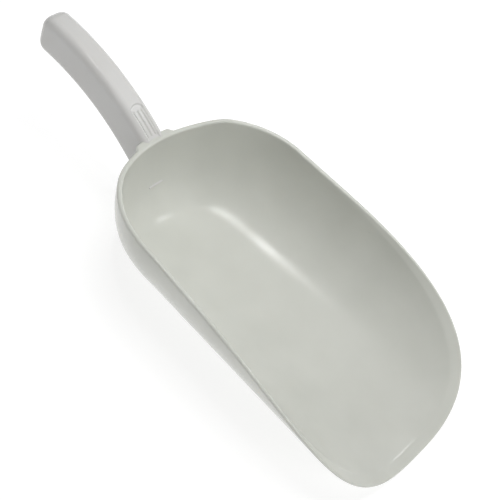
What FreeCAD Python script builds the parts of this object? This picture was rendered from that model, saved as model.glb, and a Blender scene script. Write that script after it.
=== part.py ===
"""Ice scoop: a deep moulded bowl whose hollow grip plugs into a cradle behind its rim.

The bowl is drawn with its rim in the plane z = 0 and its back at x = 0.  +X runs to the pouring lip
and +Y is the width.  The finished pieces are then tipped onto the keel, which lies in z = 0.
Lengths are millimetres and angles are degrees.
"""
import FreeCAD, Part
import math
import os
from FreeCAD import Vector

# Bowl
RIM_HALF_WIDTH = 65.0  # outside, where the round back meets the straight sides
BOWL_LENGTH = 227.9  # back of the rim to the tip of the lip
BOWL_DEPTH = 56.5  # rim to the outside of the floor, at the same place as the half width
BOWL_WALL = 3.0
BACK_LENGTH = 63.4  # length of the round back, in plan
HEEL_LENGTH = 39.4  # length of the curve from the back wall down to the floor
SIDE_FLARE = 0.16  # growth in width from the round back to the lip
FLOOR_DROP = 0.13  # growth in depth from the round back to the lip
BACK_POWER = 2.14  # superellipse powers: 2 is an ellipse and more is squarer
HEEL_POWER = 2.6
SECTION_POWER = 2.25
KEEL_CUT = 0.5  # taken off the round underside, which leaves a flat strip to rest on

# Rim, seen from the side: low behind the grip, up to two shoulders, then down in a sweep to the lip
RIM_DIP = 3.0
SHOULDER_RISE = 1.9
SHOULDER_START = 17.0
SHOULDER_END = 48.0
SHOULDER_FADE = 48.0
SWEEP_START = 22.4
SWEEP_POWER = 2.8
LIP_POWER = 2.5

# Grip: an arc seen from the side
GRIP_START_X = 6.3  # start of the top line, inside the back wall
GRIP_START_Z = -6.5
GRIP_START_SLOPE = 36.0
GRIP_LENGTH = 108.0  # along the top line
GRIP_RADIUS = 166.0
GRIP_HALF_WIDTH = 8.5
GRIP_DEPTH = 25.7
GRIP_WALL = 2.6
GRIP_NOSE_TOP_ROUND = 7.5
GRIP_NOSE_BOTTOM_ROUND = 8.0
GRIP_EDGE_ROUND = 2.6
GRIP_RIB = 1.8
GRIP_RIB_PLACES = (50.0, 65.0, 80.0)

# Thumb rest, in the top of the grip beside the bowl
THUMB_START = 6.0
THUMB_END = 30.0
THUMB_HALF_WIDTH = 5.9
THUMB_DEPTH = 0.9
THUMB_RIB_PITCH = 3.0
THUMB_RIB_WIDTH = 1.2
THUMB_RIB_START = 11.0
THUMB_RIB_END = 25.0

# Cradle on the back of the bowl, and the tongue that enters the grip
CRADLE_HALF_WIDTH = 13.0
CRADLE_REACH = 2.9
CRADLE_DROP = 3.4
CRADLE_HEIGHT = 40.0
CRADLE_WEB = 3.4
CRADLE_ROUND = 3.0
FIT_GAP = 0.15
TONGUE_TOP = 13.5  # depth below the top of the grip
TONGUE_THICKNESS = 4.5
TONGUE_END = 38.0
TONGUE_SIDE_GAP = 0.35

# Underside cover of the grip
COVER_THICKNESS = 2.4
COVER_BOSS_THICKNESS = 5.5
COVER_BOSS_RADIUS = 5.0
COVER_SCREW_PLACE = 92.0

# Screws, three alike
SCREW_RADIUS = 1.75
SCREW_LENGTH = 12.0
SCREW_HEAD_RADIUS = 3.3
SCREW_HEAD_HEIGHT = 2.2
SCREW_SLOT_WIDTH = 1.0
SCREW_SLOT_DEPTH = 1.1
SCREW_SHANK_GAP = 0.25
SCREW_PILOT_GAP = 0.05
SCREW_HEAD_GAP = 0.4
SPOT_FACE = 0.6
HEAD_RECESS = 3.0
BOSS_RADIUS = 3.6
TONGUE_SCREW_PLACES = (17.0, 31.0)

REACH = 400.0  # longer than the scoop, for cutting tools
RUN_ON = 30.0  # run of the grip's blocks past the bowl's back wall
SAME_PLACE = 0.05  # points closer than this are one point
HEADROOM = 12.0  # run of a block past the faces it opens
PAST = 1.0  # run of a close-fitting block past the face it opens
CRADLE_RUN = 60.0  # run of the cradle's blocks to each side of the grip's start
SECTION_STEPS = 18  # points but one in half a section of the bowl


def squared(fraction, power):
    """Ordinate of a unit superellipse at a fraction of its axis."""
    return (1.0 - fraction ** power) ** (1.0 / power)


def rise(x, inset, length, power):
    """Share of the full size that the round back has reached at x."""
    if x >= length:
        return 1.0
    return squared((length - x) / (length - inset), power)


def along(x):
    """Share of the way from the round back to the lip."""
    return (x - BACK_LENGTH) / (BOWL_LENGTH - BACK_LENGTH)


def half_width(x, inset):
    full = RIM_HALF_WIDTH * (1.0 + SIDE_FLARE * max(along(x), 0.0)) - inset
    return full * rise(x, inset, BACK_LENGTH, BACK_POWER)


def depth(x, inset):
    full = BOWL_DEPTH * (1.0 + FLOOR_DROP * along(x)) - inset
    return full * rise(x, inset, HEEL_LENGTH, HEEL_POWER)


def section_point(x, inset, phase):
    """Point of a cross-section: phase 0 is the floor, and -90 and 90 are the rim."""
    turn = math.radians(abs(phase))
    y = half_width(x, inset) * math.sin(turn) ** (2.0 / SECTION_POWER)
    z = -depth(x, inset) * max(math.cos(turn), 0.0) ** (2.0 / SECTION_POWER)
    return Vector(x, math.copysign(y, phase), z)


def section_wire(x, inset, headroom):
    """Closed U of the bowl at x, carried straight up past the rim."""
    bearings = [180.0 * step / SECTION_STEPS - 90.0 for step in range(SECTION_STEPS + 1)]
    points = [section_point(x, inset, bearing) for bearing in bearings]
    floor = Part.BSplineCurve()
    floor.interpolate(Points=points, InitialTangent=Vector(0, 0, -1), FinalTangent=Vector(0, 0, 1))
    lift = Vector(0, 0, headroom)
    edges = [
        floor.toShape(),
        Part.LineSegment(points[-1], points[-1] + lift).toShape(),
        Part.LineSegment(points[-1] + lift, points[0] + lift).toShape(),
        Part.LineSegment(points[0] + lift, points[0]).toShape(),
    ]
    return Part.Wire(edges)


def bowl_body(inset):
    """Solid of the bowl's outside (inset 0) or of its hollow (inset one wall)."""
    stations = [BACK_LENGTH - (BACK_LENGTH - inset) * math.cos(math.radians(turn)) for turn in range(6, 91, 6)]
    back = Part.makeLoft([section_wire(x, inset, HEADROOM) for x in stations], True)
    sides = [section_wire(x, inset, HEADROOM) for x in (BACK_LENGTH, BOWL_LENGTH + HEADROOM)]
    return back.fuse(Part.makeLoft(sides, True, True))


def smooth(share):
    """Soft step from 0 to 1 as the share goes from 0 to 1."""
    held = min(max(share, 0.0), 1.0)
    return held * held * (3.0 - 2.0 * held)


def rim_lift(x):
    """Height of the rim above its plain line: below it behind the grip and above it at the shoulders."""
    climb = (RIM_DIP + SHOULDER_RISE) * smooth(x / SHOULDER_START)
    return climb - RIM_DIP - SHOULDER_RISE * smooth((x - SHOULDER_END) / SHOULDER_FADE)


def sweep_points():
    """Side view of the rim, from the shoulder down to the tip of the lip."""
    points = []
    for turn in range(0, 91, 6):
        ahead = math.sin(math.radians(turn)) ** (2.0 / SWEEP_POWER)
        height = max(math.cos(math.radians(turn)), 0.0) ** (2.0 / LIP_POWER)
        x = SWEEP_START + (BOWL_LENGTH - SWEEP_START) * ahead
        points.append(section_point(x, 0.0, 90.0 * height))
    return [Vector(point.x, 0, point.z + rim_lift(point.x)) for point in points]


def smooth_line(points, last_tangent):
    """Curve through points that leaves the first one along X."""
    line = Part.BSplineCurve()
    line.interpolate(Points=points, InitialTangent=Vector(1, 0, 0), FinalTangent=last_tangent)
    return line.toShape()


def rim_cutter():
    """Everything above the rim, as one block."""
    climb = [Vector(SWEEP_START * step / 6.0, 0, rim_lift(SWEEP_START * step / 6.0)) for step in range(7)]
    sweep = sweep_points()
    tip = sweep[-1]
    corners = [tip, tip + Vector(0, 0, -REACH), Vector(REACH, 0, tip.z - REACH), Vector(REACH, 0, REACH),
               Vector(-REACH, 0, REACH), Vector(-REACH, 0, -RIM_DIP), climb[0]]
    edges = [Part.LineSegment(a, b).toShape() for a, b in zip(corners[:-1], corners[1:])]
    edges += [smooth_line(climb, Vector(1, 0, 0)), smooth_line(sweep, Vector(0, 0, -1))]
    profile = Part.Wire(Part.__sortEdges__(edges))
    profile.translate(Vector(0, -REACH, 0))
    return Part.Face(profile).extrude(Vector(0, 2 * REACH, 0))


def grip_point(place, below):
    """Point on the grip's middle plane: place along its top line, and distance below it."""
    slope = math.radians(GRIP_START_SLOPE)
    centre_x = GRIP_START_X - GRIP_RADIUS * math.sin(slope)
    centre_z = GRIP_START_Z - GRIP_RADIUS * math.cos(slope)
    turn = slope - place / GRIP_RADIUS
    reach = GRIP_RADIUS - below
    return Vector(centre_x + reach * math.sin(turn), 0, centre_z + reach * math.cos(turn))


def grip_up(place):
    """Direction square to the grip's top line."""
    return (grip_point(place, 0.0) - grip_point(place, 1.0)).normalize()


def arc_block(start, end, top, bottom, half):
    """Block that follows the grip's arc between two places and two depths."""
    corners = [grip_point(start, top), grip_point(end, top), grip_point(end, bottom), grip_point(start, bottom)]
    middle = (start + end) / 2.0
    edges = [
        Part.Arc(corners[0], grip_point(middle, top), corners[1]).toShape(),
        Part.LineSegment(corners[1], corners[2]).toShape(),
        Part.Arc(corners[2], grip_point(middle, bottom), corners[3]).toShape(),
        Part.LineSegment(corners[3], corners[0]).toShape(),
    ]
    profile = Part.Wire(edges)
    profile.translate(Vector(0, -half, 0))
    return Part.Face(profile).extrude(Vector(0, 2 * half, 0))


def peg(radius, place, top, bottom):
    """Cylinder square to the grip's top line, between two depths."""
    return Part.makeCylinder(radius, bottom - top, grip_point(place, bottom), grip_up(place))


def rounded(shape, radius, chosen):
    """Shape with a fillet on each edge that the test picks."""
    return shape.makeFillet(radius, [edge for edge in shape.Edges if chosen(edge)])


def grip_envelope():
    """Outside of the grip, run on past the bowl's back wall."""
    block = arc_block(-RUN_ON, GRIP_LENGTH, 0.0, GRIP_DEPTH, GRIP_HALF_WIDTH)
    for radius, below in ((GRIP_NOSE_TOP_ROUND, 0.0), (GRIP_NOSE_BOTTOM_ROUND, GRIP_DEPTH)):
        corner = grip_point(GRIP_LENGTH, below)
        block = rounded(block, radius, lambda edge: (edge.CenterOfMass - corner).Length < SAME_PLACE)
    start = grip_point(-RUN_ON, GRIP_DEPTH / 2.0)

    def runs_along(edge):
        middle = edge.CenterOfMass
        beside = abs(abs(middle.y) - GRIP_HALF_WIDTH) < SAME_PLACE
        return beside and (middle - start).Length > GRIP_DEPTH

    return rounded(block, GRIP_EDGE_ROUND, runs_along)


def channel_end():
    """Place where the hollow of the grip stops, before its nose turns up."""
    return GRIP_LENGTH - GRIP_NOSE_BOTTOM_ROUND


def thumb_rest():
    """Cutter for the sunk panel: it leaves the ribs standing."""
    straight = arc_block(THUMB_START, THUMB_END - THUMB_HALF_WIDTH, -HEADROOM, THUMB_DEPTH, THUMB_HALF_WIDTH)
    nose = peg(THUMB_HALF_WIDTH, THUMB_END - THUMB_HALF_WIDTH, -HEADROOM, THUMB_DEPTH)
    panel = straight.fuse(nose)
    for row in (-1, 0, 1):
        bottom = THUMB_DEPTH + PAST
        rib = arc_block(THUMB_RIB_START, THUMB_RIB_END, -2 * HEADROOM, bottom, THUMB_RIB_WIDTH / 2.0)
        rib.translate(Vector(0, row * THUMB_RIB_PITCH, 0))
        panel = panel.cut(rib)
    return panel


def make_handle(outside):
    """Upper shell of the grip: an upturned channel with bosses and cross ribs inside."""
    inner_half = GRIP_HALF_WIDTH - GRIP_WALL
    floor = GRIP_DEPTH - COVER_THICKNESS
    hollow = arc_block(-RUN_ON - HEADROOM, channel_end(), GRIP_WALL, GRIP_DEPTH + HEADROOM, inner_half)
    shell = grip_envelope().cut(hollow)
    bosses = [(place, TONGUE_TOP) for place in TONGUE_SCREW_PLACES]
    bosses.append((COVER_SCREW_PLACE, GRIP_DEPTH - COVER_BOSS_THICKNESS))
    for place, bottom in bosses:
        post = peg(BOSS_RADIUS, place, GRIP_WALL / 2.0, bottom + HEADROOM)
        room = arc_block(place - HEADROOM, place + HEADROOM, GRIP_WALL / 2.0, bottom, GRIP_HALF_WIDTH)
        post = post.common(room)
        shell = shell.fuse(post)
    for place in GRIP_RIB_PLACES:
        rib = arc_block(place, place + GRIP_RIB, GRIP_WALL / 2.0, floor, inner_half + GRIP_WALL / 2.0)
        shell = shell.fuse(rib)
    for place, bearing in screw_places():
        pilot = peg(SCREW_RADIUS + SCREW_PILOT_GAP, place, bearing - SCREW_LENGTH - PAST, bearing + PAST)
        shell = shell.cut(pilot)
    return shell.cut(thumb_rest()).cut(outside).removeSplitter()


def screw_places():
    """Place of each screw along the grip, with the depth of the face its head bears on."""
    pairs = [(place, TONGUE_TOP + TONGUE_THICKNESS - SPOT_FACE) for place in TONGUE_SCREW_PLACES]
    pairs.append((COVER_SCREW_PLACE, GRIP_DEPTH - HEAD_RECESS))
    return pairs


def screw_hole(place, bearing, top):
    """Shank hole and head recess for one screw, as a cutter."""
    shank = peg(SCREW_RADIUS + SCREW_SHANK_GAP, place, top, bearing + PAST)
    head = peg(SCREW_HEAD_RADIUS + SCREW_HEAD_GAP, place, bearing, bearing + HEADROOM)
    return shank.fuse(head)


def make_bowl(outside):
    """Bowl with its rim, cradle and tongue, moulded as one piece."""
    shell = outside.cut(bowl_body(BOWL_WALL)).cut(rim_cutter())
    cradle = Part.makeBox(CRADLE_REACH + HEEL_LENGTH, 2 * CRADLE_HALF_WIDTH, CRADLE_HEIGHT,
                          Vector(-CRADLE_REACH, -CRADLE_HALF_WIDTH, -CRADLE_DROP - CRADLE_HEIGHT))
    cradle = rounded(cradle, CRADLE_ROUND, lambda edge: edge.BoundBox.ZLength > PAST and edge.CenterOfMass.x < 0)
    web_bottom = GRIP_DEPTH + CRADLE_WEB
    seat_bottom = GRIP_DEPTH + FIT_GAP
    web = arc_block(-CRADLE_RUN, CRADLE_RUN, -CRADLE_RUN, web_bottom, CRADLE_HALF_WIDTH + PAST)
    seat = arc_block(-CRADLE_RUN, CRADLE_RUN, -CRADLE_RUN, seat_bottom, GRIP_HALF_WIDTH + FIT_GAP)
    cradle = cradle.common(web).cut(seat)
    tongue_bottom = TONGUE_TOP + TONGUE_THICKNESS
    tongue_half = GRIP_HALF_WIDTH - GRIP_WALL - TONGUE_SIDE_GAP
    tongue = arc_block(-RUN_ON, TONGUE_END, TONGUE_TOP, tongue_bottom, tongue_half)
    for place, bearing in screw_places()[:-1]:
        tongue = tongue.cut(screw_hole(place, bearing, TONGUE_TOP - PAST))
    inside = bowl_body(BOWL_WALL / 2.0)
    return shell.fuse(cradle.cut(inside)).fuse(tongue.cut(inside)).removeSplitter()


def make_cover(outside):
    """Strip that closes the underside of the grip, with a boss for its screw."""
    half = GRIP_HALF_WIDTH - GRIP_WALL - FIT_GAP
    end = channel_end() - FIT_GAP
    boss_top = GRIP_DEPTH - COVER_BOSS_THICKNESS
    strip = arc_block(-RUN_ON, end, GRIP_DEPTH - COVER_THICKNESS, GRIP_DEPTH, half)
    boss = peg(COVER_BOSS_RADIUS, COVER_SCREW_PLACE, boss_top - PAST, GRIP_DEPTH + PAST)
    strip = strip.fuse(boss.common(arc_block(-RUN_ON, end, boss_top, GRIP_DEPTH, half)))
    place, bearing = screw_places()[-1]
    return strip.cut(screw_hole(place, bearing, boss_top - PAST)).cut(outside)


def make_screw(place, bearing):
    """Pan-head screw with a driver slot."""
    head = peg(SCREW_HEAD_RADIUS, place, bearing, bearing + SCREW_HEAD_HEIGHT)
    shank = peg(SCREW_RADIUS, place, bearing - SCREW_LENGTH, bearing + SCREW_HEAD_HEIGHT / 2.0)
    slot_top = bearing + SCREW_HEAD_HEIGHT - SCREW_SLOT_DEPTH
    slot = arc_block(place - HEADROOM, place + HEADROOM, slot_top, bearing + HEADROOM, SCREW_SLOT_WIDTH / 2.0)
    return head.fuse(shank).cut(slot)


def stand(shapes):
    """Tip the pieces onto the keel and centre them over the origin."""
    tilt = math.degrees(math.atan(BOWL_DEPTH * FLOOR_DROP / (BOWL_LENGTH - BACK_LENGTH)))
    floor = section_point(BACK_LENGTH, 0.0, 0.0)
    standing = []
    for shape in shapes:
        turned = shape.copy()
        turned.rotate(floor, Vector(0, 1, 0), -tilt)
        turned.translate(Vector(0, 0, -floor.z - KEEL_CUT))
        standing.append(turned)
    box = Part.makeCompound(standing).optimalBoundingBox()
    for shape in standing:
        shape.translate(Vector(-(box.XMin + box.XMax) / 2.0, 0, 0))
    return standing


def main():
    outside = bowl_body(0.0)
    names = ["bowl", "handle", "handle_cover", "handle_screws"]
    screws = [make_screw(place, bearing) for place, bearing in screw_places()]
    pieces = [make_bowl(outside), make_handle(outside), make_cover(outside), Part.makeCompound(screws)]
    pieces = stand(pieces)
    underground = Part.makeBox(2 * REACH, 2 * REACH, REACH, Vector(-REACH, -REACH, -REACH))
    pieces[0] = pieces[0].cut(underground)
    os.makedirs("parts", exist_ok=True)
    for name, piece in zip(names, pieces):
        if not piece.isValid():
            raise ValueError(name + " isn't a valid shape")
        piece.exportStep("parts/" + name + ".step")
        print(name, len(piece.Solids), "solid(s),", round(piece.Volume / 1000.0, 1), "cm3")


main()
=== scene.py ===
"""Ice scoop: a milky moulded bowl on its keel, with a hollow grip that plugs into a cradle at its back.

The bowl and the grip are drawn in the rim's own frame, in millimetres: the back of the rim is at
x = 0, the rim's level stretch lies in z = 0, +X runs to the pouring lip and +Y is the width.  A
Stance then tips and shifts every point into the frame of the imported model, in metres.
"""

import logging
import math
from dataclasses import dataclass
from enum import Enum

import bpy
import numpy as np
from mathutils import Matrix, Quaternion, Vector


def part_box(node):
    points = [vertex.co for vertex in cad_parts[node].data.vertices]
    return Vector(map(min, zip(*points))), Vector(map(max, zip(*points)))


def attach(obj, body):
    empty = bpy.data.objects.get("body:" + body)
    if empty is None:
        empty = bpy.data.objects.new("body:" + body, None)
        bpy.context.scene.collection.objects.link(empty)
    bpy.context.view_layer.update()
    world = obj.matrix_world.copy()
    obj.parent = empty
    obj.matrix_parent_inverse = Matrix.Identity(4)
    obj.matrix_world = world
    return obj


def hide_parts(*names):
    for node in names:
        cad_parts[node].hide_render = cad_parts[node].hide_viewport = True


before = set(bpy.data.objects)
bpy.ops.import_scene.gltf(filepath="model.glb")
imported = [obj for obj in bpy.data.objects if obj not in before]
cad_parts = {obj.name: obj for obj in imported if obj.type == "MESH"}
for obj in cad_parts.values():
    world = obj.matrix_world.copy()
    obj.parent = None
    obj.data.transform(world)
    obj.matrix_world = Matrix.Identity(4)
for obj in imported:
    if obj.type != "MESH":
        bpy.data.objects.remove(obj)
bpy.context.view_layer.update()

MM = 0.001
BODY = "root"
Colour = tuple[float, float, float]
Socket = bpy.types.NodeSocket
HALVINGS = 44  # steps in the search for a point on a skin
log = logging.getLogger("ice_scoop")


# ---------------------------------------------------------------- shapes


def smooth(share: np.ndarray) -> np.ndarray:
    """Soft step from 0 to 1 as share goes from 0 to 1."""
    held = np.clip(share, 0.0, 1.0)
    return held * held * (3.0 - 2.0 * held)


@dataclass(frozen=True)
class BowlShape:
    """Outside and hollow of the bowl, as superellipse sections along x, in millimetres."""

    rim_half_width: float = 65.0
    length: float = 227.9
    deep: float = 56.5
    wall: float = 3.0
    back_length: float = 63.4
    heel_length: float = 39.4
    side_flare: float = 0.16
    floor_drop: float = 0.13
    back_power: float = 2.14
    heel_power: float = 2.6
    section_power: float = 2.25
    keel_cut: float = 0.5
    rim_dip: float = 3.0
    shoulder_rise: float = 1.9
    shoulder_start: float = 17.0
    shoulder_end: float = 48.0
    shoulder_fade: float = 48.0
    sweep_start: float = 22.4
    sweep_power: float = 2.8
    lip_power: float = 2.5

    def along(self, x: np.ndarray) -> np.ndarray:
        """Share of the way from the round back to the lip."""
        return (x - self.back_length) / (self.length - self.back_length)

    def rise(self, x: np.ndarray, inset: np.ndarray, length: float, power: float) -> np.ndarray:
        """Share of the full size that the round back has reached at x."""
        left = np.clip((length - x) / (length - inset), 0.0, 1.0)
        return np.maximum((1.0 - left**power) ** (1.0 / power), 1e-9)

    def half_width(self, x: np.ndarray, inset: np.ndarray) -> np.ndarray:
        """Half the width at rim level, in from the outside by inset."""
        full = self.rim_half_width * (1.0 + self.side_flare * np.maximum(self.along(x), 0.0)) - inset
        return full * self.rise(x, inset, self.back_length, self.back_power)

    def depth(self, x: np.ndarray, inset: np.ndarray) -> np.ndarray:
        """Depth of the floor below the rim, in from the outside by inset."""
        full = self.deep * (1.0 + self.floor_drop * self.along(x)) - inset
        return full * self.rise(x, inset, self.heel_length, self.heel_power)

    def beyond(self, points: np.ndarray, inset: float) -> np.ndarray:
        """Negative inside the skin at that inset, zero on it and positive outside.

        Args:
            points: An array of points, with x, y and z last.
            inset: Distance of the skin in from the outside.

        Returns:
            One number a point.
        """
        x, y, z = points[..., 0], np.abs(points[..., 1]), np.abs(points[..., 2])
        power = self.section_power
        wide, deep = self.half_width(x, inset), self.depth(x, inset)
        gap = (y / wide) ** power + (z / deep) ** power - 1.0
        return np.where(x <= inset, 1.0, gap)

    def cast(self, start: np.ndarray, direction: np.ndarray, inset: float) -> np.ndarray:
        """Points where rays from inside the bowl meet the skin at that inset.

        Args:
            start: Points inside the skin.
            direction: Unit directions, one a point.
            inset: Distance of the skin in from the outside.

        Returns:
            The points on the skin.
        """
        near = np.zeros(direction.shape[:-1])
        far = np.full(direction.shape[:-1], self.length)
        for _ in range(HALVINGS):
            middle = (near + far) / 2.0
            inside = self.beyond(start + direction * middle[..., None], inset) < 0.0
            near, far = np.where(inside, middle, near), np.where(inside, far, middle)
        return start + direction * near[..., None]

    def sink(self, points: np.ndarray, inset: np.ndarray) -> np.ndarray:
        """Moves points of the outside skin in through the wall.

        Args:
            points: Points on the outside.
            inset: How far in each goes.

        Returns:
            The moved points.
        """
        x, y, z = points[..., 0], points[..., 1], points[..., 2]
        power = self.section_power / 2.0
        nothing = np.zeros_like(x)
        across = (np.abs(y) / self.half_width(x, nothing)) ** power
        down = (np.abs(z) / self.depth(x, nothing)) ** power
        turn = np.arctan2(across, down)
        back = self.back_length
        ahead = np.where(x < back, back - (back - inset) * (back - x) / back, x)
        wide, deep = self.half_width(ahead, inset), self.depth(ahead, inset)
        new_y = np.copysign(wide * np.sin(turn) ** (1.0 / power), y)
        new_z = -deep * np.maximum(np.cos(turn), 0.0) ** (1.0 / power)
        return np.stack([ahead, new_y, new_z], -1)

    def rim_lift(self, x: np.ndarray) -> np.ndarray:
        """Height of the rim above its plain line.

        It is below the line behind the grip and above it at the shoulders.

        Args:
            x: Distances along the bowl.

        Returns:
            The heights.
        """
        climb = (self.rim_dip + self.shoulder_rise) * smooth(x / self.shoulder_start)
        fall = self.shoulder_rise * smooth((x - self.shoulder_end) / self.shoulder_fade)
        return climb - self.rim_dip - fall

    def rim(self, samples: int = 1500) -> np.ndarray:
        """Plain outer line of the rim on the +Y side, from the back to the tip of the lip.

        Args:
            samples: Points on each of its two stretches.

        Returns:
            The points.
        """
        level = self.sweep_start * np.linspace(0.0, 1.0, samples) ** 2
        turn = np.linspace(0.0, math.pi / 2.0, samples)[1:]
        sweep = self.length - self.sweep_start
        swept = self.sweep_start + sweep * np.sin(turn) ** (2.0 / self.sweep_power)
        phase = math.pi / 2.0 * np.maximum(np.cos(turn), 0.0) ** (2.0 / self.lip_power)
        x = np.concatenate([level, swept])
        phase = np.concatenate([np.full(samples, math.pi / 2.0), phase])
        share = 2.0 / self.section_power
        nothing = np.zeros_like(x)
        y = self.half_width(x, nothing) * np.sin(phase) ** share
        z = -self.depth(x, nothing) * np.maximum(np.cos(phase), 0.0) ** share
        return np.stack([x, y, z], -1)


@dataclass(frozen=True)
class GripShape:
    """The grip's arc in the middle plane, in millimetres."""

    start_x: float = 6.3
    start_z: float = -6.5
    start_slope: float = 36.0
    length: float = 108.0
    radius: float = 166.0
    half_width: float = 8.5
    deep: float = 25.7
    wall: float = 2.6
    knee: float = 12.0  # the underside runs straight between here and the bowl

    def at(self, place: np.ndarray, below: np.ndarray, across: np.ndarray) -> np.ndarray:
        """Points of the grip.

        Args:
            place: Distances along the top line, from the bowl to the end.
            below: Depths below the top line.
            across: Distances from the middle plane.

        Returns:
            The points in the rim's frame.
        """
        slope = math.radians(self.start_slope)
        centre_x = self.start_x - self.radius * math.sin(slope)
        centre_z = self.start_z - self.radius * math.cos(slope)
        turn = slope - place / self.radius
        straight = np.maximum(self.knee - place, 0.0) ** 2 / (2.0 * (self.radius - self.deep))
        reach = self.radius - below * (1.0 - straight / self.deep)
        return np.stack([centre_x + reach * np.sin(turn), across, centre_z + reach * np.cos(turn)], -1)


@dataclass(frozen=True)
class Stance:
    """How the scoop stands: tipped on its keel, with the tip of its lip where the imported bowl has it."""

    bowl: BowlShape
    tip_x: float

    def tilt(self) -> float:
        """Angle of the rim's level stretch above the ground, in radians."""
        drop = self.bowl.deep * self.bowl.floor_drop
        return math.atan(drop / (self.bowl.length - self.bowl.back_length))

    def rest(self, points: np.ndarray) -> np.ndarray:
        """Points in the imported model's frame, in metres, from points in the rim's frame.

        Args:
            points: Points in the rim's frame, in millimetres.

        Returns:
            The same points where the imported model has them.
        """
        turned = self.turned(points)
        tip = self.turned(self.bowl.rim()[-1])
        turned[..., 0] += self.tip_x / MM - tip[0]
        return turned * MM

    def turned(self, points: np.ndarray) -> np.ndarray:
        """Points tipped about the floor under the round back, and set down on the keel.

        Args:
            points: Points in the rim's frame.

        Returns:
            The tipped points, still in millimetres.
        """
        cos, sin = math.cos(self.tilt()), math.sin(self.tilt())
        ahead = points[..., 0] - self.bowl.back_length
        above = points[..., 2] + self.bowl.deep
        x = ahead * cos - above * sin
        z = ahead * sin + above * cos - self.bowl.keel_cut
        return np.stack([x, points[..., 1], z], -1)


# ---------------------------------------------------------------- mesh work


def clear_selection() -> None:
    """Leaves nothing selected."""
    bpy.ops.object.select_all(action="DESELECT")


def choose(piece: bpy.types.Object) -> None:
    """Makes one object the selected and active one.

    Args:
        piece: The object.
    """
    clear_selection()
    piece.select_set(True)
    bpy.context.view_layer.objects.active = piece


def shaped_sphere(name: str, segments: int, rings: int, points: np.ndarray) -> bpy.types.Object:
    """A UV sphere whose rings are laid over a table of points.

    Args:
        name: Name of the new piece.
        segments: Number of points in a ring.
        rings: Number of rings between the two poles.
        points: Array of rings + 2 rows and segments columns, pole rows first and last, in metres.

    Returns:
        The new object.
    """
    clear_selection()
    bpy.ops.mesh.primitive_uv_sphere_add(segments=segments, ring_count=rings + 1, radius=1.0)
    piece = bpy.context.active_object
    piece.name = name
    piece.data.name = name
    for vertex in piece.data.vertices:
        x, y, z = vertex.co
        row = round(math.acos(max(-1.0, min(1.0, z))) / math.pi * (rings + 1))
        column = round(math.atan2(y, x) / (2.0 * math.pi) * segments) % segments
        vertex.co = Vector(points[row, column])
    piece.data.update()
    return piece


def finish_mesh(piece: bpy.types.Object, sharp: float = 35.0) -> None:
    """Merges doubles, turns the faces outward and smooths the shading.

    Args:
        piece: The object to finish.
        sharp: Angle in degrees past which an edge stays sharp.
    """
    choose(piece)
    bpy.ops.object.mode_set(mode="EDIT")
    bpy.ops.mesh.select_all(action="SELECT")
    bpy.ops.mesh.remove_doubles(threshold=1e-6)
    bpy.ops.mesh.normals_make_consistent(inside=False)
    bpy.ops.mesh.select_all(action="DESELECT")
    bpy.ops.object.mode_set(mode="OBJECT")
    bpy.ops.object.shade_smooth_by_angle(angle=math.radians(sharp))


def cut(piece: bpy.types.Object, tool: bpy.types.Object) -> None:
    """Takes the tool's shape out of the piece, and removes the tool.

    Args:
        piece: The object to cut.
        tool: The closed shape to cut with.
    """
    choose(piece)
    knife = piece.modifiers.new("cut", "BOOLEAN")
    knife.operation = "DIFFERENCE"
    knife.solver = "EXACT"
    knife.object = tool
    bpy.ops.object.modifier_apply(modifier=knife.name)
    bpy.data.objects.remove(tool, do_unlink=True)


# ---------------------------------------------------------------- finishes


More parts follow.
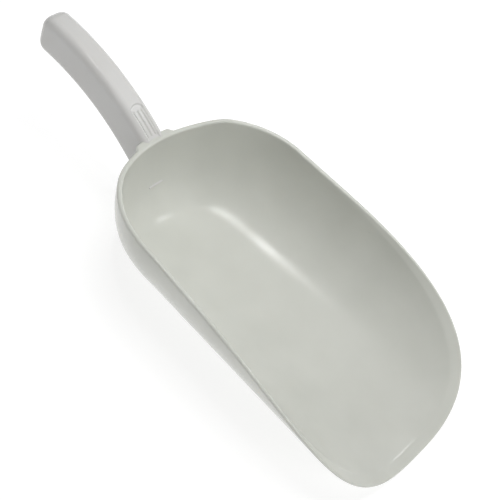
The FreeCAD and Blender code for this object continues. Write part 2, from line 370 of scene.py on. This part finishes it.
class Shading:
    """A material's nodes, added and linked a step at a time."""

    def __init__(self, name: str) -> None:
        """Starts a material of that name with an empty surface.

        Args:
            name: Name of the material.
        """
        self.material = bpy.data.materials.new(name)
        self.material.use_nodes = True
        self.tree = self.material.node_tree
        self.surface = self.tree.nodes["Principled BSDF"]
        self.place = self.tree.nodes.new("ShaderNodeTexCoord").outputs["Object"]

    def link(self, source: Socket, target: Socket) -> None:
        """Joins two sockets."""
        self.tree.links.new(source, target)

    def stretched(self, scale: Colour, turn: Colour = (0.0, 0.0, 0.0)) -> Socket:
        """Object coordinates, turned by some degrees and then scaled along each axis.

        Args:
            scale: Factors along the three axes.
            turn: Angles about them, in degrees.

        Returns:
            The socket of the new coordinates.
        """
        mapping = self.tree.nodes.new("ShaderNodeMapping")
        mapping.inputs["Scale"].default_value = scale
        mapping.inputs["Rotation"].default_value = [math.radians(part) for part in turn]
        self.link(self.place, mapping.inputs["Vector"])
        return mapping.outputs["Vector"]

    def noise(self, scale: float, detail: float = 3.0, place: Socket | None = None) -> Socket:
        """Noise between 0 and 1 with that many waves a metre.

        Args:
            scale: Waves a metre.
            detail: Number of finer layers.
            place: Coordinates, if they aren't the object's own.

        Returns:
            The value's socket.
        """
        node = self.tree.nodes.new("ShaderNodeTexNoise")
        node.inputs["Scale"].default_value = scale
        node.inputs["Detail"].default_value = detail
        self.link(place or self.place, node.inputs["Vector"])
        return node.outputs["Fac"]

    def specks(self, scale: float, size: float) -> Socket:
        """Sparse small spots: 1 inside a spot and 0 outside.

        Args:
            scale: Spots a metre.
            size: Radius of a spot, as a share of the gap between spots.

        Returns:
            The value's socket.
        """
        node = self.tree.nodes.new("ShaderNodeTexVoronoi")
        node.inputs["Scale"].default_value = scale
        node.inputs["Randomness"].default_value = 1.0
        self.link(self.place, node.inputs["Vector"])
        return self.between(node.outputs["Distance"], size, size * 0.4, 0.0, 1.0)

    def between(self, value: Socket, low: float, high: float, out_low: float,
                out_high: float) -> Socket:
        """The value's run from low to high, spread over a run of its own.

        Args:
            value: The socket to read.
            low: Value that becomes out_low.
            high: Value that becomes out_high.
            out_low: Start of the new run.
            out_high: End of the new run.

        Returns:
            The new value's socket.
        """
        node = self.tree.nodes.new("ShaderNodeMapRange")
        runs = {"From Min": low, "From Max": high, "To Min": out_low, "To Max": out_high}
        for key, amount in runs.items():
            node.inputs[key].default_value = amount
        self.link(value, node.inputs["Value"])
        return node.outputs["Result"]

    def multiply(self, one: Socket, other: Socket) -> Socket:
        """Product of two values.

        Args:
            one: The first value.
            other: The second value.

        Returns:
            The product's socket.
        """
        node = self.tree.nodes.new("ShaderNodeMath")
        node.operation = "MULTIPLY"
        self.link(one, node.inputs[0])
        self.link(other, node.inputs[1])
        return node.outputs["Value"]

    def blend(self, share: Socket, one: Colour | Socket, other: Colour | Socket) -> Socket:
        """Colour that goes from one to the other.

        Args:
            share: 0 gives the first colour and 1 the second.
            one: The first colour.
            other: The second colour.

        Returns:
            The colour's socket.
        """
        node = self.tree.nodes.new("ShaderNodeMix")
        node.data_type = "RGBA"
        self.link(share, node.inputs[0])
        for socket, colour in ((node.inputs[6], one), (node.inputs[7], other)):
            if isinstance(colour, Socket):
                self.link(colour, socket)
            else:
                socket.default_value = (*colour, 1.0)
        return node.outputs[2]

    def bump(self, height: Socket, strength: float, distance: float,
             below: Socket | None = None) -> Socket:
        """Surface relief, over another relief if one is given.

        Args:
            height: The relief.
            strength: How much of it shows.
            distance: Its height in metres.
            below: Socket of the relief under it.

        Returns:
            The normal's socket.
        """
        node = self.tree.nodes.new("ShaderNodeBump")
        node.inputs["Strength"].default_value = strength
        node.inputs["Distance"].default_value = distance
        self.link(height, node.inputs["Height"])
        if below is not None:
            self.link(below, node.inputs["Normal"])
        return node.outputs["Normal"]

    def set(self, **amounts: object) -> None:
        """Sets the surface's own sockets; an underscore in a name stands for a space."""
        for name, amount in amounts.items():
            self.surface.inputs[name.replace("_", " ")].default_value = amount


@dataclass(frozen=True)
class MilkyPlastic:
    """Glossy white moulded plastic, a little translucent, with fine flow marks, scuffs and specks."""

    name: str
    pale: Colour
    shaded: Colour
    roughness: float = 0.19
    milkiness: float = 0.12
    scuffed: float = 0.5
    scuff_depth: float = 0.03
    speck_darkness: float = 0.62

    def material(self) -> bpy.types.Material:
        """The finish as a material.

        Returns:
            The material.
        """
        shading = Shading(self.name)
        flow = shading.noise(9.0, 2.0)
        cloud = shading.noise(38.0, 4.0)
        mixed = shading.multiply(flow, cloud)
        tone = shading.blend(shading.between(mixed, 0.12, 0.40, 0.0, 1.0), self.shaded, self.pale)
        dirt = shading.multiply(shading.specks(62.0, 0.035), shading.between(flow, 0.5, 0.62, 0.0, 0.3))
        speck_colour = tuple(part * self.speck_darkness for part in self.shaded)
        tone = shading.blend(dirt, tone, speck_colour)
        shading.link(tone, shading.surface.inputs["Base Color"])
        scratch = shading.noise(1.0, 1.0, shading.stretched((900.0, 26.0, 120.0), (0.0, 0.0, 38.0)))
        line = shading.multiply(shading.between(scratch, 0.70, 0.76, 0.0, 1.0), cloud)
        rough = shading.between(mixed, 0.1, 0.4, self.roughness + 0.05, self.roughness - 0.03)
        scuff = shading.tree.nodes.new("ShaderNodeMath")
        scuff.operation = "MULTIPLY_ADD"
        shading.link(line, scuff.inputs[0])
        scuff.inputs[1].default_value = self.scuff_depth * self.scuffed
        shading.link(rough, scuff.inputs[2])
        shading.link(scuff.outputs["Value"], shading.surface.inputs["Roughness"])
        waves = shading.bump(shading.noise(45.0, 1.0), 0.03, 0.0006)
        peel = shading.bump(shading.noise(900.0, 2.0), 0.03, 0.0001, waves)
        shading.link(peel, shading.surface.inputs["Normal"])
        shading.set(IOR=1.49, Subsurface_Weight=self.milkiness, Subsurface_Scale=0.004,
                    Subsurface_Radius=(1.0, 0.95, 0.85))
        return shading.material


@dataclass(frozen=True)
class BrushedSteel:
    """Bright screw steel with turned marks."""

    name: str
    bright: Colour = (0.62, 0.62, 0.63)
    dull: Colour = (0.42, 0.42, 0.43)

    def material(self) -> bpy.types.Material:
        """The finish as a material.

        Returns:
            The material.
        """
        shading = Shading(self.name)
        grain = shading.noise(1.0, 3.0, shading.stretched((4000.0, 300.0, 300.0)))
        shading.link(shading.blend(grain, self.dull, self.bright), shading.surface.inputs["Base Color"])
        shading.link(shading.between(grain, 0.3, 0.7, 0.22, 0.42), shading.surface.inputs["Roughness"])
        shading.link(shading.bump(grain, 0.15, 0.00005), shading.surface.inputs["Normal"])
        shading.set(Metallic=1.0)
        return shading.material


BOWL_PLASTIC = MilkyPlastic("bowl_plastic", pale=(0.60, 0.61, 0.565), shaded=(0.56, 0.57, 0.525))
GRIP_PLASTIC = MilkyPlastic("grip_plastic", pale=(0.60, 0.60, 0.59), shaded=(0.56, 0.555, 0.54), scuffed=0.8)
SCREW_STEEL = BrushedSteel("screw_steel")


class Slot(Enum):
    """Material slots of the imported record."""

    BOWL = "bowl"
    HANDLE = "handle"
    COVER = "handle_cover"
    SCREWS = "handle_screws"


def dress(piece: bpy.types.Object, material: bpy.types.Material) -> None:
    """Gives a piece one material all over."""
    piece.data.materials.clear()
    piece.data.materials.append(material)


# ---------------------------------------------------------------- bowl


@dataclass
class Bowl:
    """The moulded bowl: one closed skin with a rounded rim and a bevelled lip."""

    shape: BowlShape
    stance: Stance
    segments: int = 340
    wall_rows: int = 60
    back_crowding: float = 6.0  # how much closer the lines stand behind the grip
    back_spread: float = 0.13
    cradle_half_width: float = 13.0
    cradle_reach: float = 2.9
    cradle_bottom: float = 36.0
    cradle_blend: float = 3.2
    cradle_lead: float = 0.3  # share of the blend that lies inside the cradle's side
    cradle_foot: float = 1.6  # how much longer the blend is at the cradle's foot
    corner_rows: int = 5
    heart_x: float = 118.0  # the rings close on the floor here
    rim_round: float = 1.25
    lip_edge: float = 1.3
    lip_bevel: float = 6.5
    side_bevel: float = 3.0
    taper_start: float = 70.0
    corner_share: float = 0.46  # a rim corner takes at most this share of the edge
    crease: tuple[float, ...] = (1.35, 1.12, 1.0, 0.88, 0.65)  # rings about the bevel's foot
    crease_soft: float = 0.12

    def paths(self, samples: int = 220) -> tuple[np.ndarray, np.ndarray, np.ndarray]:
        """Lines down the outside, from the rim to the floor.

        Args:
            samples: Number of points in each line.

        Returns:
            The unit directions of each line's points from the heart, the lengths down to them, and
            the rim's points.
        """
        rim = self.shape.rim()
        bearing = np.arctan2(rim[:, 1], rim[:, 0] - self.heart_x)
        wanted = self.bearings()
        folded = np.abs((wanted + math.pi) % (2.0 * math.pi) - math.pi)
        order = np.argsort(bearing)
        start = np.stack([np.interp(folded, bearing[order], rim[order, axis]) for axis in range(3)], -1)
        start[:, 1] *= np.where(wanted > math.pi, -1.0, 1.0)
        out = start - self.heart()
        out /= np.linalg.norm(out, axis=1)[:, None]
        down = np.array([0.0, 0.0, -1.0])
        angle = np.arccos(np.clip(out @ down, -1.0, 1.0))[:, None]
        share = np.linspace(0.0, 1.0, samples)[None, :]
        first = np.sin((1.0 - share) * angle) / np.sin(angle)
        second = np.sin(share * angle) / np.sin(angle)
        ways = first[..., None] * out[:, None, :] + second[..., None] * down
        points = self.shape.cast(self.heart(), ways, 0.0)
        steps = np.linalg.norm(np.diff(points, axis=1), axis=2)
        return ways, np.concatenate([np.zeros((self.segments, 1)), np.cumsum(steps, 1)], 1), start

    def bearings(self) -> np.ndarray:
        """Bearings of the lines about the heart, crowded behind the grip where the cradle is.

        Returns:
            One bearing a line, in radians.
        """
        fine = np.linspace(0.0, 2.0 * math.pi, 4001)
        crowd = 1.0 + self.back_crowding * np.exp(-(((fine - math.pi) / self.back_spread) ** 2))
        total = np.concatenate([[0.0], np.cumsum((crowd[1:] + crowd[:-1]) / 2.0)])
        return np.interp(np.arange(self.segments) * total[-1] / self.segments, total, fine)

    def cradle(self, points: np.ndarray) -> np.ndarray:
        """How far the cradle stands out from the back wall at points of the outside.

        Args:
            points: Points on the outside.

        Returns:
            One distance a point.
        """
        x, y, z = points[..., 0], np.abs(points[..., 1]), points[..., 2]
        past_side = y - self.cradle_half_width + self.cradle_blend * self.cradle_lead
        past_foot = -z - self.cradle_bottom + self.cradle_blend
        beside = 1.0 - smooth(past_side / self.cradle_blend)
        above = 1.0 - smooth(past_foot / (self.cradle_foot * self.cradle_blend))
        return self.cradle_reach * beside * above * (x < self.shape.back_length)

    def heart(self) -> np.ndarray:
        """The point in the rim's plane from which the lines are drawn."""
        return np.array([self.heart_x, 0.0, 0.0])

    def profile(self, run: np.ndarray, start: np.ndarray) -> tuple[np.ndarray, np.ndarray]:
        """Section of the wall along each line, from the floor's inside over the rim to its outside.

        Args:
            run: Length of each line.
            start: The rim's points.

        Returns:
            Distances down from the rim and insets from the outside, with one row a ring.
        """
        taper = smooth((start[:, 0] - self.taper_start) / (self.shape.length - self.taper_start))
        edge = self.shape.wall + (self.lip_edge - self.shape.wall) * taper
        bevel = self.side_bevel + (self.lip_bevel - self.side_bevel) * taper
        corner = np.minimum(self.rim_round, self.corner_share * edge)
        rows = []
        foot = bevel * self.crease[0]
        for share in np.linspace(1.0, 0.0, self.wall_rows):
            down = foot + (run - foot) * share
            rows.append((down, np.full_like(down, self.shape.wall)))
        for factor in self.crease[1:]:
            lost = (self.shape.wall - edge) * self.ramp(factor)
            rows.append((bevel * factor, self.shape.wall - lost))
        for step in range(self.corner_rows):
            turn = math.pi / 2.0 * step / (self.corner_rows - 1)
            rows.append((corner * (1.0 - math.sin(turn)), edge - corner * (1.0 - math.cos(turn))))
        for step in range(self.corner_rows):
            turn = math.pi / 2.0 * (1.0 - step / (self.corner_rows - 1))
            rows.append((corner * (1.0 - math.sin(turn)), corner * (1.0 - math.cos(turn))))
        for share in np.linspace(0.0, 1.0, self.wall_rows + 1)[1:]:
            rows.append((corner + (run - corner) * share, np.zeros_like(run)))
        return np.array([row[0] for row in rows]), np.array([row[1] for row in rows])

    def ramp(self, factor: float) -> float:
        """Share of the bevel's thinning that is reached at a factor of its length down from the rim.

        Args:
            factor: Distance down from the rim, in lengths of the bevel.

        Returns:
            The share, from 0 to 1.
        """
        slack = self.crease_soft
        if factor > 1.0 + slack:
            return 0.0
        if factor > 1.0 - slack:
            return (1.0 + slack - factor) ** 2 / (4.0 * slack)
        return 1.0 - factor

    def points(self) -> np.ndarray:
        """The skin's points in the rim's frame.

        Returns:
            The points, with one row a ring and both poles included.
        """
        ways, lengths, start = self.paths()
        lift = self.shape.rim_lift(start[:, 0])
        down, inset = self.profile(lengths[:, -1] + lift, start)
        rings = []
        places = np.arange(ways.shape[1], dtype=float)
        for ring_down, ring_inset in zip(down - lift, inset):
            at = np.array([np.interp(d, line, places) for d, line in zip(ring_down, lengths)])
            low = np.clip(np.floor(at).astype(int), 0, ways.shape[1] - 2)
            part = (at - low)[:, None]
            pick = np.arange(self.segments)
            way = ways[pick, low] * (1.0 - part) + ways[pick, low + 1] * part
            way /= np.linalg.norm(way, axis=1)[:, None]
            outside = self.shape.cast(self.heart(), way, 0.0)
            swell = self.cradle(outside) * (ring_inset < self.shape.wall / 2.0)
            ring = self.shape.sink(outside, ring_inset)
            ring[:, 0] -= swell
            ring[:, 2] += np.maximum(-ring_down, 0.0)
            rings.append(ring)
        return np.array(rings)

    def build(self) -> bpy.types.Object:
        """Makes the bowl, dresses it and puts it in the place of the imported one.

        Returns:
            The bowl.
        """
        points = self.stance.rest(self.points())
        points[..., 2] = np.maximum(points[..., 2], 0.0)  # the keel's flat
        piece = shaped_sphere("bowl_shell", self.segments, len(points) - 2, points)
        finish_mesh(piece)
        dress(piece, BOWL_PLASTIC.material())
        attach(piece, BODY)
        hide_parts("bowl")
        return piece


# ---------------------------------------------------------------- grip


@dataclass
class Grip:
    """The grip's moulding: a rounded bar on the arc, open below, with a soft rest for the thumb."""

    line: GripShape
    bowl: BowlShape
    stance: Stance
    edge_round: float = 4.8
    corner_points: int = 9
    top_points: int = 42
    side_points: int = 9
    nose_top: float = 7.5
    nose_bottom: float = 9.5
    nose_side: float = 6.0
    nose_slant: float = 3.0  # how much further the end reaches along the bottom than along the top
    slant_pivot: float = 0.35  # share of the depth at which the end keeps its place
    nose_rows: int = 16
    root_rows: int = 5
    rest_start: float = 6.0
    rest_end: float = 30.0
    rest_half_width: float = 5.9
    rest_sink: float = 0.75
    rest_soft: float = 1.1
    rest_row: float = 0.35
    ridge_places: tuple[float, ...] = (-3.0, 0.0, 3.0)
    ridge_half_width: float = 0.85
    ridge_start: float = 10.0
    ridge_end: float = 25.5
    ridge_slope: float = 0.75
    ridge_height: float = 0.9  # share of the rest's depth
    body_row: float = 2.2
    channel_back: float = 40.0
    channel_end: float = 100.0
    bar_rows: int = 70
    fit_gap: float = 0.15
    cover_thick: float = 2.4
    cover_start: float = -22.0
    cover_round: float = 0.4
    screw_place: float = 92.0
    recess_radius: float = 3.7
    recess_depth: float = 2.2

    def section(self) -> tuple[np.ndarray, np.ndarray, np.ndarray]:
        """Unit places round a section.

        Returns:
            Shares across the flat faces, shares down them, and the turns of the round corners, with
            one number a point.
        """
        quarter = np.linspace(0.0, math.pi / 2.0, self.corner_points)
        across, down, turn = [], [], []

        def add(shares_across: np.ndarray, shares_down: np.ndarray, turns: np.ndarray) -> None:
            """Adds a run of points.

            Args:
                shares_across: Their shares across the flats.
                shares_down: Their shares down the flats.
                turns: Their turns round the corners.
            """
            across.extend(shares_across)
            down.extend(shares_down)
            turn.extend(turns)

        top = np.linspace(-1.0, 1.0, self.top_points)[1:-1]
        side = np.linspace(-1.0, 1.0, self.side_points)[1:-1]
        add(top, np.full_like(top, -1.0), np.full_like(top, math.pi / 2.0))
        add(np.ones_like(quarter), np.full_like(quarter, -1.0), math.pi / 2.0 - quarter)
        add(np.ones_like(side), side, np.zeros_like(side))
        add(np.ones_like(quarter), np.ones_like(quarter), -quarter)
        add(-side, np.ones_like(side), np.full_like(side, -math.pi / 2.0))
        add(-np.ones_like(quarter), np.ones_like(quarter), -math.pi / 2.0 - quarter)
        add(-np.ones_like(side), -side, np.full_like(side, math.pi))
        add(-np.ones_like(quarter), np.full_like(quarter, -1.0), math.pi - quarter)
        return np.array(across), np.array(down), np.array(turn)

    def rows(self) -> np.ndarray:
        """Places of the sections along the top line.

        Returns:
            The places, from the bowl to the end.
        """
        reach = max(self.nose_top, self.nose_bottom)
        root = np.linspace(0.0, self.rest_start - 1.0, self.root_rows)[:-1]
        rest = np.arange(self.rest_start - 1.0, self.rest_end + 1.0, self.rest_row)
        body = np.arange(self.rest_end + 1.0, self.line.length - reach, self.body_row)
        turn = np.linspace(0.0, math.pi / 2.0, self.nose_rows)
        return np.concatenate([root, rest, body, self.line.length - reach * (1.0 - np.sin(turn))])

    def nose(self, place: np.ndarray, radius: float) -> np.ndarray:
        """How far a face has drawn in at places near the end, over a round of that radius."""
        share = np.clip((place - self.line.length + radius) / radius, 0.0, 1.0)
        return radius * (1.0 - np.sqrt(1.0 - share**2))

    def sunk(self, place: np.ndarray, across: np.ndarray) -> np.ndarray:
        """Depth of the thumb's rest below the top, with its ridges.

        Args:
            place: Places along the top line.
            across: Distances from the middle plane.

        Returns:
            One depth a point.
        """
        last = self.rest_end - self.rest_half_width
        beyond = np.maximum(place - last, 0.0)
        edge = self.rest_half_width - np.hypot(beyond, across)
        panel = smooth(edge / self.rest_soft + 0.5)
        panel = panel * smooth((place - self.rest_start) / self.rest_soft + 0.5)
        ridges = np.zeros_like(place)
        for middle in self.ridge_places:
            held = np.clip(place, self.ridge_start, self.ridge_end)
            away = np.hypot(place - held, across - middle) / self.ridge_half_width
            ridges = np.maximum(ridges, smooth(1.0 - away * self.ridge_slope))
        return self.rest_sink * panel * (1.0 - self.ridge_height * ridges)

    def root(self, below: np.ndarray, across: np.ndarray) -> np.ndarray:
        """Places at which the lines along the grip meet the middle of the bowl's wall.

        Args:
            below: Depth of each line below the top.
            across: Distance of each line from the middle plane.

        Returns:
            One place a line.
        """
        trial = np.linspace(60.0, -40.0, 4001)
        places = np.broadcast_to(trial[:, None], (len(trial), len(below)))
        points = self.line.at(places, below[None, :], np.broadcast_to(across, places.shape))
        inside = self.bowl.beyond(points, self.bowl.wall / 2.0) < 0.0
        return trial[np.argmax(inside, axis=0)]

    def points(self) -> np.ndarray:
        """The skin's points in the rim's frame.

        Returns:
            The points, with one row a section and both poles included.
        """
        across_share, down_share, turn = self.section()
        rows = self.rows()
        place = np.broadcast_to(rows[:, None], (len(rows), len(turn)))
        half = self.line.half_width - self.nose(place, self.nose_side)
        top = self.nose(place, self.nose_top)
        bottom = self.line.deep - self.nose(place, self.nose_bottom)
        corner = np.minimum(self.edge_round, 0.9 * half)
        across = across_share * (half - corner) + corner * np.cos(turn)
        below = (top + bottom) / 2.0 + down_share * ((bottom - top) / 2.0 - corner) - corner * np.sin(turn)
        start = self.root(below[0], across[0])
        settle = self.rest_start - 1.0
        place = np.where(place < settle, start + (settle - start) * place / settle, place)
        slant = self.nose_slant * (below / self.line.deep - self.slant_pivot)
        outer = self.line.length / 2.0
        place = place + slant * smooth((place - outer) / outer)
        flat = (np.sin(turn) > 0.999) & (down_share < 0.0)
        below = below + np.where(flat, self.sunk(place, across), 0.0)
        skin = self.line.at(place, below, across)
        ends = [np.broadcast_to(row.mean(axis=0), row.shape) for row in (skin[0], skin[-1])]
        return np.concatenate([ends[0][None], skin, ends[1][None]])

    def bar(self, name: str, start: float, end: float, top: float, bottom: float,
            half: float) -> bpy.types.Object:
        """A plain square-edged bar along the grip's arc.

        Args:
            name: Name of the new piece.
            start: Place where the bar starts.
            end: Place where it ends.
            top: Depth of its top.
            bottom: Depth of its underside.
            half: Half its width.

        Returns:
            The new object.
        """
        places = np.linspace(start, end, self.bar_rows)[:, None]
        below = np.array([[top, top, bottom, bottom]]) + 0.0 * places
        across = np.array([[-half, half, half, -half]]) + 0.0 * places
        skin = self.line.at(places + 0.0 * below, below, across)
        ends = [np.broadcast_to(row.mean(axis=0), row.shape) for row in (skin[0], skin[-1])]
        points = self.stance.rest(np.concatenate([ends[0][None], skin, ends[1][None]]))
        piece = shaped_sphere(name, points.shape[1], len(points) - 2, points)
        finish_mesh(piece)
        return piece

    def recess(self) -> bpy.types.Object:
        """The peg that the screw's recess in the cover is cut with.

        Returns:
            The peg.
        """
        place, none = np.array([self.screw_place]), np.zeros(1)
        low, high = (self.stance.rest(self.line.at(place, none + depth, none))[0]
                     for depth in (self.line.deep + self.cover_thick, self.line.deep - self.recess_depth))
        clear_selection()
        bpy.ops.mesh.primitive_cylinder_add(vertices=64, radius=self.recess_radius * MM,
                                            depth=float(np.linalg.norm(high - low)), end_fill_type="NGON")
        peg = bpy.context.active_object
        peg.location = Vector((low + high) / 2.0)
        peg.rotation_mode = "QUATERNION"
        peg.rotation_quaternion = Vector(high - low).to_track_quat("Z", "Y")
        return peg

    def cover(self) -> bpy.types.Object:
        """Makes the strip that closes the grip's underside.

        Returns:
            The strip.
        """
        half = self.line.half_width - self.line.wall - self.fit_gap
        top = self.line.deep - self.cover_thick
        end = self.channel_end - self.fit_gap
        piece = self.bar("grip_cover", self.cover_start, end, top, self.line.deep, half)
        choose(piece)
        round_edges = piece.modifiers.new("round", "BEVEL")
        round_edges.width = self.cover_round * MM
        round_edges.segments = 3
        round_edges.limit_method = "ANGLE"
        bpy.ops.object.modifier_apply(modifier=round_edges.name)
        cut(piece, self.recess())
        finish_mesh(piece)
        dress(piece, GRIP_PLASTIC.material())
        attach(piece, BODY)
        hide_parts("handle_cover")
        return piece

    def build(self) -> bpy.types.Object:
        """Makes the grip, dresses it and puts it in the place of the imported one.

        Returns:
            The grip's moulding.
        """
        points = self.stance.rest(self.points())
        piece = shaped_sphere("grip_shell", points.shape[1], len(points) - 2, points)
        finish_mesh(piece)
        half = self.line.half_width - self.line.wall
        below = self.line.deep + self.line.wall
        cut(piece, self.bar("channel", -self.channel_back, self.channel_end, self.line.wall, below, half))
        finish_mesh(piece)
        dress(piece, GRIP_PLASTIC.material())
        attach(piece, BODY)
        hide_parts("handle")
        return piece


# ---------------------------------------------------------------- studio


@dataclass(frozen=True)
class Lamp:
    """A soft rectangular lamp that looks at the scoop; places are in metres."""

    name: str
    place: Colour
    size: tuple[float, float]
    power: float
    glossy: bool = True
    colour: Colour = (1.0, 1.0, 1.0)

    def light(self, target: Vector) -> bpy.types.Object:
        """Adds the lamp to the scene.

        Args:
            target: The place that it looks at.

        Returns:
            The lamp.
        """
        data = bpy.data.lights.new(self.name, "AREA")
        data.shape = "RECTANGLE"
        data.size, data.size_y = self.size
        data.energy = self.power
        data.color = self.colour
        lamp = bpy.data.objects.new(self.name, data)
        bpy.context.scene.collection.objects.link(lamp)
        lamp.location = self.place
        lamp.visible_glossy = self.glossy
        lamp.rotation_mode = "QUATERNION"
        lamp.rotation_quaternion = (target - lamp.location).to_track_quat("-Z", "Y")
        return lamp


@dataclass
class Studio:
    """Pale floor, soft lamps and the camera."""

    target: Colour = (0.0164, 0.0023, 0.03183)
    azimuth: float = 24.02
    elevation: float = 49.86
    roll: float = 24.18
    distance: float = 0.6340
    lens: float = 79.15
    floor_size: float = 6.0
    surround: float = 0.34
    floor_glow: float = 0.74
    lamps: tuple[Lamp, ...] = (
        Lamp("fill", (-0.04, 0.10, 0.42), (0.3, 0.3), 1.05, glossy=False),
        Lamp("front", (0.90, 0.00, 0.37), (0.4, 0.4), 2.1, glossy=False),
        Lamp("overhead", (-0.23, -0.06, 1.0), (0.13, 0.05), 0.65),
        Lamp("window", (0.22, 0.64, 0.74), (0.05, 0.20), 0.6),
    )

    def build(self) -> None:
        """Makes the floor, the lamps and the camera."""
        self.floor()
        self.sky()
        for lamp in self.lamps:
            lamp.light(Vector(self.target))
        self.camera()
        bpy.context.scene.view_settings.view_transform = "Standard"

    def floor(self) -> None:
        """A plain pale floor."""
        clear_selection()
        bpy.ops.mesh.primitive_plane_add(size=self.floor_size)
        floor = bpy.context.active_object
        floor.name = "floor"
        shading = Shading("pale_floor")
        shading.set(Base_Color=(0.4, 0.4, 0.4, 1.0), Roughness=0.9, Specular_IOR_Level=0.0,
                    Emission_Color=(1.0, 1.0, 1.0, 1.0), Emission_Strength=self.floor_glow)
        dress(floor, shading.material)

    def sky(self) -> None:
        """Even white light from all round."""
        world = bpy.data.worlds.new("studio")
        world.use_nodes = True
        background = world.node_tree.nodes["Background"]
        background.inputs["Color"].default_value = (1.0, 1.0, 1.0, 1.0)
        background.inputs["Strength"].default_value = self.surround
        bpy.context.scene.world = world

    def camera(self) -> None:
        """The camera, from its bearing, height and roll about the target."""
        azimuth, elevation = math.radians(self.azimuth), math.radians(self.elevation)
        level = math.cos(elevation)
        back = Vector((math.sin(azimuth) * level, -math.cos(azimuth) * level, math.sin(elevation)))
        data = bpy.data.cameras.new("camera")
        data.lens = self.lens
        data.clip_start, data.clip_end = 0.01, 20.0
        camera = bpy.data.objects.new("camera", data)
        bpy.context.scene.collection.objects.link(camera)
        camera.location = Vector(self.target) + back * self.distance
        camera.rotation_mode = "QUATERNION"
        turn = Quaternion((0.0, 0.0, 1.0), math.radians(self.roll))
        camera.rotation_quaternion = (-back).to_track_quat("-Z", "Y") @ turn
        bpy.context.scene.camera = camera


def main() -> None:
    """Builds the studio and each part of the scoop in turn."""
    logging.basicConfig(level=logging.INFO, format="%(message)s")
    shape = BowlShape()
    stance = Stance(shape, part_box("bowl")[1].x)
    Studio().build()
    bowl = Bowl(shape, stance).build()
    grip = Grip(GripShape(), shape, stance)
    for piece in (bowl, grip.build(), grip.cover()):
        log.info("%s: %d faces", piece.name, len(piece.data.polygons))
    finishes = {"handle": GRIP_PLASTIC, "handle_cover": GRIP_PLASTIC, "handle_screws": SCREW_STEEL}
    for name, finish in finishes.items():
        dress(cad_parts[name], finish.material())


if __name__ == "__main__":
    main()
